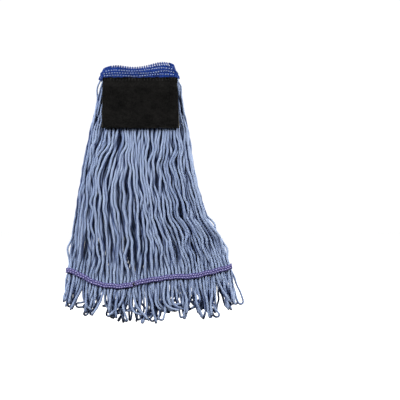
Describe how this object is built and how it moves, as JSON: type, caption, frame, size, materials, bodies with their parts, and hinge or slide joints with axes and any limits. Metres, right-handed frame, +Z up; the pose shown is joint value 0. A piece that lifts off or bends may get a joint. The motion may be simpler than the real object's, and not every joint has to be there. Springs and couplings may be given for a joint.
{
  "type": "looped-end wet mop head",
  "caption": "Looped-end wet mop head: two curtains of blend yarn from a folded mesh headband, with a scrub pad flap and stitched tail bands.",
  "frame": {"origin": "on the axis of the handle's bar, inside the fold of the headband, at the middle of its width", "axes": "+Z up, as the head hangs; -Y is the front, with the scrub pad; +X along the bar, to the right seen from the front"},
  "size_m": [0.3666, 0.0388, 0.5217],
  "materials": {
    "yarn": "four-ply cotton and synthetic blend yarn, soft and matt",
    "mesh_band": "open polyester mesh, slightly shiny",
    "lining": "woven polyester binding",
    "band_thread": "polyester lockstitch thread",
    "tail_tape": "woven polyester tape",
    "tail_thread": "polyester chain-stitch thread",
    "scrub_pad": "non-woven nylon, open and abrasive",
    "pad_thread": "black polyester thread"
  },
  "bodies": {
    "front_half": {"headband_front": "mesh_band", "lining_front": "lining", "headband_stitching_front": "band_thread", "yarn_neck_front": "yarn", "pad_hem": "scrub_pad", "pad_stitching": "pad_thread"},
    "back_half": {"headband_back": "mesh_band", "lining_back": "lining", "headband_stitching_back": "band_thread", "yarn_neck_back": "yarn"},
    "pad": {"scrub_pad": "scrub_pad"},
    "front_curtain": {"yarn_front_01": "yarn", "yarn_front_02": "yarn", "yarn_front_03": "yarn", "yarn_front_04": "yarn", "yarn_front_05": "yarn", "yarn_front_06": "yarn", "yarn_front_07": "yarn", "yarn_front_08": "yarn", "yarn_front_09": "yarn", "yarn_front_10": "yarn", "tail_tape_front_outer": "tail_tape", "tail_tape_front_inner": "tail_tape", "tail_stitching_front": "tail_thread"},
    "back_curtain": {"yarn_back_01": "yarn", "yarn_back_02": "yarn", "yarn_back_03": "yarn", "yarn_back_04": "yarn", "yarn_back_05": "yarn", "yarn_back_06": "yarn", "yarn_back_07": "yarn", "yarn_back_08": "yarn", "yarn_back_09": "yarn", "yarn_back_10": "yarn", "tail_tape_back_outer": "tail_tape", "tail_tape_back_inner": "tail_tape", "tail_stitching_back": "tail_thread"}
  },
  "joints": [
    {"name": "headband_fold", "type": "hinge", "parent": "front_half", "child": "back_half", "pos_m": [0, 0, 0.015], "axis": [1, 0, 0], "range_deg": [0, 175]},
    {"name": "pad_flap", "type": "hinge", "parent": "front_half", "child": "pad", "pos_m": [0, -0.0193, -0.0171], "axis": [-1, 0, 0], "range_deg": [0, 120]},
    {"name": "front_yarn_lift", "type": "hinge", "parent": "front_half", "child": "front_curtain", "pos_m": [0, -0.015, -0.1202], "axis": [-1, 0, 0], "range_deg": [0, 85]},
    {"name": "back_yarn_lift", "type": "hinge", "parent": "back_half", "child": "back_curtain", "pos_m": [0, 0.015, -0.0452], "axis": [1, 0, 0], "range_deg": [0, 80]}
  ]
}
